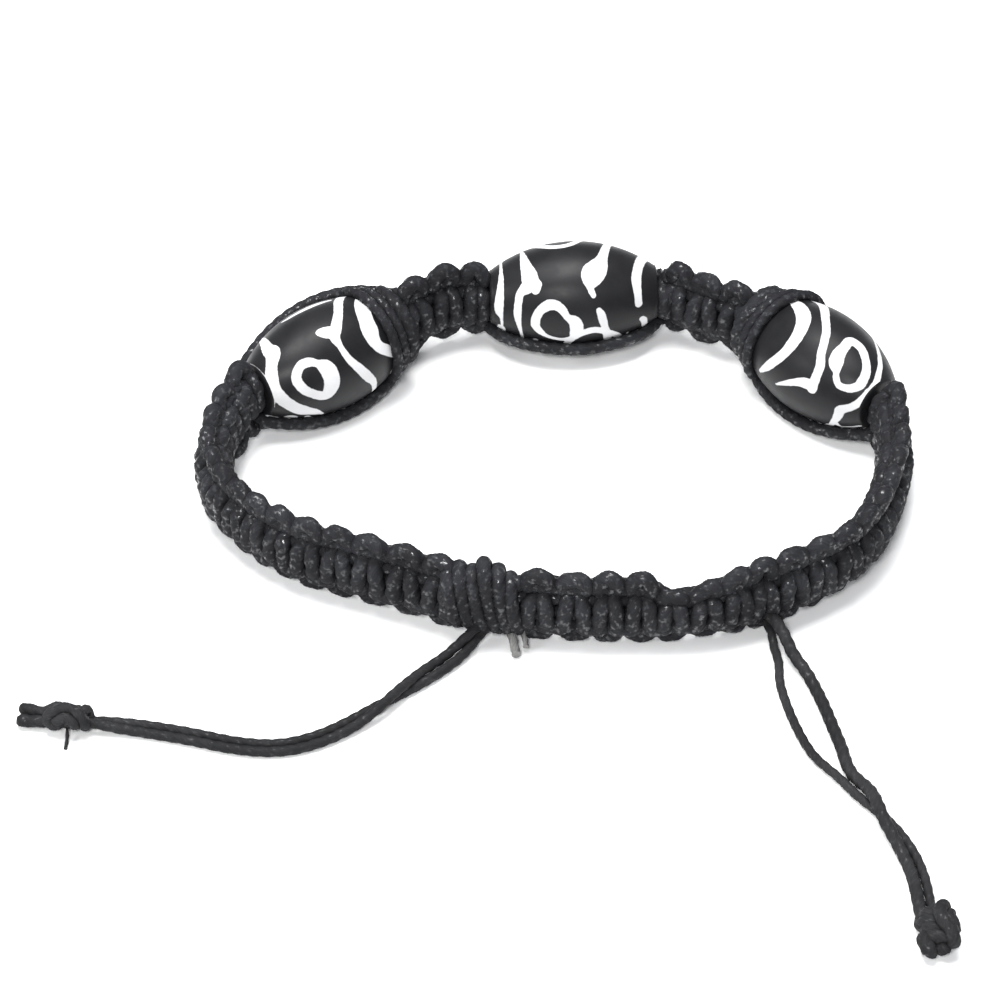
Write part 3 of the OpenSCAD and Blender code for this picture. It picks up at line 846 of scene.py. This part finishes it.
# how far round the bead each cord has slipped from the upright, towards the bead's two ends,
# and how far round it the bands hold the cord's own two ends, in degrees
side_cords = {
    ("left", "upper"): {"slips": (99, 40), "holds": (92, 10)},
    ("left", "lower"): {"slips": (44, 44), "holds": (25, 3)},
    ("middle", "upper"): {"slips": (125, 125), "holds": (95, 95)},
    ("middle", "lower"): {"slips": (60, 60), "holds": (3, 3)},
    ("right", "upper"): {"slips": (92, 125), "holds": (60, 140)},
    ("right", "lower"): {"slips": (42, 42), "holds": (3, 25)}}
# each side cord's line runs on into the bands, and presses a little into the bead
side_overrun = 1.09
side_press = 0.05
band_cotton = waxed_cotton("band_cotton", dark=(0.012, 0.012, 0.014), light=(0.032, 0.033, 0.037),
                           dull=0.65, shiny=0.35, wax=1.0, bump=0.8)


def clear_of_bead(points, side, gap):
    """Points of a cord pushed out, square to a bead's hole, to lie on the bead's surface."""
    middle, axis, _ = bead_frame(side)
    away = points - middle
    x = away @ axis
    square = away - x[:, None] * axis
    r = np.maximum(np.linalg.norm(square, axis=1), 0.3)
    past = np.clip((np.abs(x) - bead_reach) / gap, 0, 1)
    need = (barrel(np.minimum(np.abs(x), bead_reach)) + gap) * np.sqrt(1 - past ** 2)
    return points + square * np.maximum(need / r - 1, 0)[:, None]


def side_line(side, level, slips, holds):
    """The line of a side cord along a bead, from the band before it into the band after it."""
    middle, axis, out = bead_frame(side)
    up = 1 if level == "upper" else -1
    bow = barrel_radius + side_across / 2
    line = []
    for f in np.linspace(-side_overrun, side_overrun, 81):
        x = f * bead_half
        away = bead_across / 2 - barrel_radius + math.sqrt(bow ** 2 - min(abs(x), bead_half) ** 2)
        slip = slips[0] + (slips[1] - slips[0]) * (f + 1) / 2
        held = holds[0] if f < 0 else holds[1]
        round_by = math.radians(held + (slip - held) * math.sqrt(max(0, 1 - abs(f) ** 4)))
        line.append(middle + x * axis
                    + up * away * (math.cos(round_by) * upward + math.sin(round_by) * out))
    line = eased(even_steps(np.array(line), cord_step), passes=24)
    return clear_of_bead(line, side, side_across / 2 - side_press)


for (side, level), sizes in side_cords.items():
    line = side_line(side, level, **sizes)
    cord = lay_cord("passing_cord_%s_%s" % (side, level), [(line, side_across / 2)], band_cotton)
    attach(cord, "root")
    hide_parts("side_cord_%s_%s" % (side, level))


# The square knots
# Every band is flat square-knot macrame: two 1.4 mm working cords are crossed in front of and
# behind two core strands, left over right and then right over left, and pulled tight.
half_pitch = 1.7
cell_points = 40
# how near the middles of two working cords, or of one and a core strand, can be pulled
cord_reach = 1.3
core_clear = 1.15
core_edge = 0.9
# the edge loops stand out round within a whole knot and are pulled in between two knots
loop_out = 1.16
loop_in = 0.6
loop_round = 0.30
loop_flat = 0.65
face_across = 1.2
face_to_loop = 1.5


def pushed_apart(points, others, reach, skip=None):
    """Moves that lift points off others that are nearer than a reach."""
    apart = points[:, None, :] - others[None, :, :]
    gap = np.linalg.norm(apart, axis=2)
    short = np.clip(reach - gap, 0, None)
    if skip is not None:
        short[skip] = 0
    share = 0.5 * short / np.maximum(gap, 1e-6) / np.maximum((short > 0).sum(1), 1)[:, None]
    return (share[:, :, None] * apart).sum(1)


def other_half(half):
    """The next half knot: the mirror image across the band, one crossing further on."""
    return half * [1, -1, 1] + [half_pitch, 0, 0]


def evenly(half):
    """The half knot with its points evenly spaced, up to where the next one begins."""
    return spread(np.vstack([half, other_half(half)[:1]]), cell_points + 1)[:-1]


def even_sided(half):
    """The half knot made the same before and after the middle of its edge loop."""
    full = np.vstack([half, other_half(half)[:1]])
    mirrored = full[::-1] * [-1, 1, 1] + [half_pitch, 0, 0]
    half = (0.5 * (full + mirrored))[:-1]
    half[0, :2] = 0
    return half


def pull_tight(rounds=1000, respaced_every=50):
    """Half a square knot's front cord, relaxed like a taut cord that can't pass into itself,
    into the back cord or into the core strands. Points are along, across and out."""
    p = half_pitch
    half = np.array([
        (0.0, 0.0, 1.25), (-0.20 * p, 1.2, 1.20), (-0.40 * p, 2.2, 0.80), (-0.42 * p, 3.2, 0.10),
        (-0.25 * p, 4.0, -0.50), (0.10 * p, 4.2, -0.80), (0.50 * p, 4.3, -0.90),
        (0.90 * p, 4.2, -0.80), (1.25 * p, 4.0, -0.50), (1.42 * p, 3.2, 0.10),
        (1.40 * p, 2.2, 0.80), (1.20 * p, 1.2, 1.20)])
    half = evenly(half * [1, 1.2, 1])
    period = np.array([2 * p, 0, 0])
    for round_no in range(1, rounds + 1):
        front = np.vstack([half, other_half(half)])
        before = np.vstack([front[-1] - period, front[:-1]])
        after = np.vstack([front[1:], front[0] + period])
        half = half + 0.25 * ((before + after) / 2 - front)[:cell_points]
        front = np.vstack([half, other_half(half)])
        back = front * [1, -1, -1]
        step = np.linalg.norm(front[1] - front[0])
        near = math.ceil(1.6 * cord_reach / step)
        move = np.zeros_like(half)
        order = np.arange(cell_points)[:, None] - np.arange(len(front))[None, :]
        for image in range(-2, 3):
            move += pushed_apart(half, back + image * period, cord_reach)
            too_near = np.abs(order - image * len(front)) <= near
            move += pushed_apart(half, front + image * period, cord_reach, too_near)
        for level in (-core_edge, core_edge):
            from_core = half[:, 1:] - [level, 0]
            gap = np.linalg.norm(from_core, axis=1)
            short = np.clip(core_clear - gap, 0, None)
            move[:, 1:] += (short / np.maximum(gap, 1e-6))[:, None] * from_core
        half = even_sided(half + move)
        if round_no % respaced_every == 0:
            half = even_sided(evenly(half))
    return half


tight_half = pull_tight()


def knotted_run(half_knots, first, whole_first):
    """The front cord of a run of half knots, from the middle of one edge loop to another's;
    first is the edge that its first loop is on."""
    pieces = []
    for k in range(-1, half_knots):
        flip = first if k % 2 == 0 else -first
        part = tight_half.copy()
        if (k % 2 == 0) == whole_first:
            from_middle = (part[:, 0] - half_pitch / 2) / half_pitch
            past_face = np.clip((part[:, 1] - face_across) / face_to_loop, 0, 1)
            part[:, 1] *= loop_out * (1 - loop_round * past_face * np.minimum(1.5 * from_middle ** 2, 1))
            part[:, 2] *= 1 - loop_flat * past_face
        else:
            part[:, 1] *= loop_in
        part = part * [1, flip, 1] + [k * half_pitch, 0, 0]
        if k == -1:
            part = part[cell_points // 2:]
        if k == half_knots - 1:
            part = part[:cell_points // 2 + 1]
        pieces.append(part)
    return np.vstack(pieces)


# The making of a band
# The soft working cords spread to nearly 1.9 mm where the knots press on them, and more cord
# fills the edges inside the loops. No two knots are quite alike, as in work tied by hand.
outer_cord_across = 1.84
inner_cord_across = 1.9
# the core strands and the soft filling: how far from the band's middle, and how thick
core_at = 0.95
core_across = 1.7
packing_from = 0.7
packing_at = 2.55
packing_across = 1.9
# how near a bead the middles of the band's cords come, and how near the table their undersides
bead_touch = 0.7
band_clearance = 0.02
# how far from the middle of a band the side cords leave its end
side_radius = 3.755
# over these lengths the cords run in to the side cords, tuck under the next band's knots and
# the core swells, and over this length a band is held at its bead's height
ease_to_bead = 2.2
tuck_in = 3.2
core_swell_over = 2.5
held_over = 8
core_step = 0.5
# how far tucked cord ends lie above the middle at a neck, and how far they draw inward
neck_level = 1.2
tuck_inward = 1.2
# how uneven hand-tied knots are: along the band in mm, in width, and in thickness in mm
shift_by = 0.12
widen_by = 0.02
thicken_by = 0.10


def on_band(line, lean, places, half_step=0.3):
    """Turns places along, across and out of a band into places of the bracelet. The band's
    upper edge leans outward by angles in degrees: at its start, along it and at its end."""
    far = lengths_along(line)
    total = far[-1]
    at = np.clip(places[:, 0], 0, total)

    def spot(s):
        return np.column_stack([np.interp(s, far, line[:, k]) for k in range(3)])

    ahead = spot(np.minimum(at + half_step, total)) - spot(np.maximum(at - half_step, 0))
    ahead = ahead / np.linalg.norm(ahead, axis=1)[:, None]
    flat = ahead * [1, 1, 0]
    flat = flat / np.linalg.norm(flat, axis=1)[:, None]
    out = np.column_stack([flat[:, 1], -flat[:, 0], np.zeros(len(flat))])
    rise = np.cross(out, ahead)
    turned = np.interp(at / total, [0, 0.3, 0.7, 1], [lean[0], lean[1], lean[1], lean[2]])
    turned = np.radians(turned)[:, None]
    across = np.cos(turned) * rise + np.sin(turned) * out
    outward = np.cos(turned) * out - np.sin(turned) * rise
    beyond = (places[:, 0] - at)[:, None] * ahead
    return spot(at) + beyond + places[:, 1:2] * across + places[:, 2:3] * outward + home


def uneven(seed, count):
    """Gentle random waves of about one, for hand-tied knots that are never quite alike."""
    heights = np.random.default_rng(seed).uniform(-1, 1, count + 4)

    def wave(at):
        return np.interp(at, np.arange(-1, count + 3), heights)

    return wave


def slack_share(slack, along, across):
    """The share of its reach that a band loses at places on it, where its cords have slipped."""
    at, above, below = slack
    return np.where(across > 0, np.interp(along, at, above), np.interp(along, at, below))


def soft_step(share):
    """A share from nought to one, made to leave and arrive gently."""
    return share * share * (3 - 2 * share)


def held_down(along, total, ends):
    """How far a band is held at its beads' height, at distances along it."""
    near = np.zeros(len(along))
    for end, far in zip(ends, (along, total - along)):
        if end in bead_places:
            near = np.maximum(near, soft_step(fading(far, held_over)))
    return near


def bead_end(side, end):
    """Where a band's route meets a bead."""
    place, turn = bead_places[side]
    return np.array(place) + end * bead_half * heading(turn)


def past_bead(side):
    """The direction in which the bands' routes leave and reach a bead."""
    return -heading(bead_places[side][1])


def run_in(places, radius, from_end, no, end, cord_across):
    """Brings one end of a band's cord to where it goes on: beside a bead or under a knot."""
    if end in bead_places:
        soft = soft_step(fading(from_end, ease_to_bead))
        upper = places[:, 1] > 0
        holds = [side_cords[end, level]["holds"][no] for level in ("upper", "lower")]
        hold = np.radians(np.where(upper, *holds))
        reach = np.where(upper, 1, -1) * side_radius
        places[:, 1] += soft * (reach * np.cos(hold) - places[:, 1])
        places[:, 2] += soft * (reach * np.sin(hold) - places[:, 2])
        radius += soft * (side_across - cord_across) / 2
    else:
        soft = soft_step(fading(from_end, tuck_in))
        level = neck_level if end == "neck" else 0.0
        places[:, 1] += soft * (level - places[:, 1])
        places[:, 2] *= 1 - soft
        inward = (1, -1)[no]
        places[:, 0] += inward * soft * tuck_inward


def lay_band(name, seed, ends, directions, route, lean, width, rise, half_knots, whole_first,
             first_edge, cord_across=outer_cord_across, spots=None, margins=(0, 0), slack=None,
             binding=None, collar=None):
    """One knotted band: its two crossing cords, its core and packing strands, and a cord
    wound round it or round the bead beside it. whole_first says whether its first two half
    knots make one knot; first_edge, which edge the front cord's first loop is on: 1, upper."""
    line = smooth_route(route, *directions)
    total = lengths_along(line)[-1]
    if spots is None:
        spots = ([0, half_knots], [margins[0], total - margins[1]])

    def laid(places):
        world = on_band(line, lean, places)
        world[:, 2] += rise * (1 - held_down(places[:, 0], total, ends))
        return world

    runs = []
    front = knotted_run(half_knots, first_edge, whole_first)
    wider = uneven(seed, half_knots)
    thicker = uneven(seed + 20, half_knots)
    shifted = uneven(seed + 40, half_knots)
    for cord in (front, front * [1, -1, -1]):
        knot_no = cord[:, 0] / half_pitch + 0.5
        places = cord.copy()
        places[:, 0] = np.interp(knot_no, *spots) + shift_by * shifted(knot_no)
        places[:, 1] *= width * (1 + widen_by * wider(knot_no))
        if slack:
            places[:, 1] *= 1 - slack_share(slack, places[:, 0], places[:, 1])
        places[:, 2] += thicken_by * thicker(knot_no)
        far = lengths_along(cord)
        radius = np.full(len(cord), cord_across / 2)
        for no, from_end in enumerate((far, far[-1] - far)):
            run_in(places, radius, from_end, no, ends[no], cord_across)
        world = laid(places)
        for end in ends:
            if end in bead_places:
                world = clear_of_bead(world, end, bead_touch)
        world[:, 2] = np.maximum(world[:, 2], radius + band_clearance)
        runs.append(as_run(world, radius))
    at = np.arange(0, total, core_step)
    inside = np.clip(np.minimum(at, total - at) / core_swell_over, 0, 1)
    for level in (-1, 1):
        core = level * (core_gap / 2 + (core_at - core_gap / 2) * inside)
        packing = level * (packing_from + (packing_at * width - packing_from) * inside)
        if slack:
            packing *= 1 - slack_share(slack, at, packing)
        for reach, across in ((core, core_across), (packing, packing_across)):
            places = np.column_stack([at, reach, np.zeros(len(at))])
            runs.append((laid(places), (strand_across + (across - strand_across) * inside) / 2))
    if binding is not None:
        runs.append((laid(binding), binding_across / 2))
    if collar is not None:
        runs.append((collar, collar_across / 2))
    band = lay_cord("knots_" + name, runs, band_cotton, sides=16)
    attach(band, "root")
    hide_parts(name)


# The left band
# A flat band of fourteen and a half square knots in black waxed cotton, from the left bead
# round to the sliding knot, which grips its two core strands.
# The sliding knot's route is given first, because both long bands run into its ends.
sleeve_route = [
    (-6.9, -24.3, 4.78), (-2.0, -24.9, 4.78), (3.2, -25.2, 4.78), (8.4, -25.3, 4.78),
    (13.0, -25.3, 4.78), (17.2, -24.5, 4.78), (20.6, -23.2, 4.78)]
sleeve_start = np.subtract(sleeve_route[1], sleeve_route[0])
sleeve_finish = np.subtract(sleeve_route[-1], sleeve_route[-2])
left_route = [
    bead_end("left", -1), (-34.6, 4.4, 5.5), (-36.2, 0.6, 5.0), (-36.4, -3.7, 4.78),
    (-35.2, -7.8, 4.78), (-32.7, -11.6, 4.78), (-29.2, -14.9, 4.78), (-24.9, -17.4, 4.78),
    (-20.2, -19.2, 4.78), (-15.8, -21.0, 4.78), (-11.8, -22.8, 4.78), (-8.4, -24.0, 4.78),
    (-6.9, -24.3, 4.78)]
# how many half knots have been tied, and how far along the band that brings it
left_spots = (
    [0, 9, 11, 13, 15, 17, 19, 21, 23, 25, 27, 29],
    [0.2, 15.4, 18.3, 21.3, 24.2, 27.3, 30.7, 34.1, 37.7, 41.75, 45.7, 49.0])
lay_band("band_left_outer", seed=11, ends=("left", "neck"),
         directions=(past_bead("left"), sleeve_start), route=left_route, lean=(5, 0, 0),
         width=1.05, rise=0.15, half_knots=29, whole_first=True, first_edge=-1, spots=left_spots)


# The sliding knot
# Eight square knots of their own cord, tied over the core strands of both long bands and
# able to slide on them. At its left end the cord's last turns are bound round everything, and
# near its right end a few loops have slipped.
sleeve_spots = (
    [0, 1, 3, 5, 7, 9, 11, 13, 15, 16],
    [3.0, 4.8, 8.6, 12.0, 15.5, 18.4, 22.1, 25.2, 28.0, 29.6])
# places along the knot, and the share of its half width that it has lost above and below
sleeve_slack = (
    [6.0, 8.6, 11.0, 15.6, 16.8, 17.8, 20.5, 22.2, 25.3, 28.0],
    [0.0, 0.07, 0.0, 0.0, 0.25, 0.60, 0.62, 0.34, 0.12, 0.0],
    [0.0, 0.0, 0.0, 0.0, 0.0, 0.0, 0.14, 0.14, 0.08, 0.0])
binding_across = 1.75
binding_out = 1.75
binding_slant = 0.12
# each turn's place along the knot and its reach above and below the middle
binding_turns = [
    (-4.1, 3.2, 2.6), (-2.8, 3.9, 2.9), (-1.6, 3.5, 3.1), (-0.2, 4.7, 3.2), (1.1, 3.9, 3.2),
    (2.2, 2.8, 3.0), (3.1, 2.3, 2.8)]


def binding_path():
    """The path of the binding's turns, in places along, across and out of the sliding knot."""
    numbers = range(len(binding_turns))
    steps = np.linspace(0, numbers[-1], 40 * numbers[-1] + 1)
    along, above, below = [np.interp(steps, numbers, [t[k] for t in binding_turns]) for k in range(3)]
    turn = 2 * math.pi * steps
    across = (above - below) / 2 + (above + below) / 2 * np.cos(turn)
    return np.column_stack([along - binding_slant * across, across, binding_out * np.sin(turn)])


lay_band("sliding_knot", seed=12, ends=("blunt", "blunt"), directions=(sleeve_start, sleeve_finish),
         route=sleeve_route, lean=(0, 0, 0), width=1.05, rise=0.12, half_knots=16, whole_first=True,
         first_edge=-1, spots=sleeve_spots, slack=sleeve_slack, binding=binding_path())


# The right band
# A flat band of ten square knots in black waxed cotton, from the sliding knot, which grips its
# two core strands, round to the right bead.
right_route = [
    (20.6, -23.2, 4.78), (22.2, -22.5, 4.78), (25.0, -21.0, 4.78), (28.3, -18.8, 4.78),
    (31.2, -16.0, 4.78), (33.4, -12.3, 4.78), (34.9, -8.0, 4.78), (35.8, -3.4, 4.78),
    (35.9, 1.0, 5.0), bead_end("right", 1)]
lay_band("band_right_outer", seed=13, ends=("neck", "right"),
         directions=(sleeve_finish, past_bead("right")), route=right_route, lean=(0, 5, 5),
         width=1.06, rise=0.3, half_knots=20, whole_first=True, first_edge=-1, margins=(1.7, 0.3))


# The inner bands
# A short flat band of about four square knots joins each two neighbouring beads. Its cord's
# last turns lie side by side round the near end of the left or of the right bead.
collar_across = 1.25
collar_gap = 1.35
collar_turns = 3
collar_from = 9.25
collar_press = 0.1


def collar_path(side, end):
    """The path of a cord's turns round a bead near one end, from its far side."""
    middle, axis, out = bead_frame(side)
    angle = np.linspace(0, 2 * math.pi * collar_turns, 80 * collar_turns)
    x = end * (collar_from - collar_gap * angle / (2 * math.pi))
    reach = barrel(x) + collar_across / 2 - collar_press
    angle = angle + math.pi / 2
    return (middle + x[:, None] * axis + (reach * np.cos(angle))[:, None] * upward
            + (reach * np.sin(angle))[:, None] * out)


right_inner_route = [
    bead_end("right", -1), (20.3, 21.4, 5.6), (17.4, 22.9, 5.5), (14.5, 24.4, 5.7),
    bead_end("middle", 1)]
left_inner_route = [
    bead_end("middle", -1), (-9.8, 24.2, 5.9), (-12.5, 23.4, 5.9), (-15.2, 21.7, 5.9),
    bead_end("left", 1)]
lay_band("band_right_inner", seed=14, ends=("right", "middle"),
         directions=(past_bead("right"), past_bead("middle")), route=right_inner_route,
         lean=(3, 3, 3), width=1.0, rise=-0.1, half_knots=8, whole_first=False, first_edge=-1,
         cord_across=inner_cord_across, spots=([0, 2, 4, 6, 8], [-1.4, 2.7, 6.7, 10.4, 11.9]),
         slack=([10.8, 11.8], [0.0, 0.25], [0.0, 0.1]), collar=collar_path("right", -1))
lay_band("band_left_inner", seed=15, ends=("middle", "left"),
         directions=(past_bead("middle"), past_bead("left")), route=left_inner_route,
         lean=(3, 3, 3), width=1.07, rise=0.45, half_knots=7, whole_first=True, first_edge=1,
         cord_across=inner_cord_across, spots=([0, 1, 3, 5, 7], [-0.1, 1.3, 5.0, 9.1, 13.1]),
         slack=([0.6, 1.6], [0.2, 0.0], [0.05, 0.0]), collar=collar_path("left", 1))


# The cut cord ends
# The sliding knot's working cord is cut off about 3 mm from the knot's left end. Its two ends
# lie forward on the table, frayed and paler than waxed cord.
cut_ends = [
    ([(-4.9, -25.6, 1.6), (-4.6, -26.4, 1.1), (-4.45, -27.2, 0.75), (-4.3, -27.9, 0.62)], 0.54),
    ([(-3.7, -25.4, 1.6), (-3.4, -26.1, 1.0), (-3.3, -26.8, 0.7)], 0.34)]
pale_cotton = waxed_cotton("pale_cotton", dark=(0.10, 0.10, 0.10), light=(0.55, 0.54, 0.52),
                           dull=0.9, shiny=0.8, wax=0.0)
runs = [(np.array(end) + home, radius) for end, radius in cut_ends]
cut = lay_cord("cut_cord_ends", runs, pale_cotton, sides=14)
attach(cut, "root")
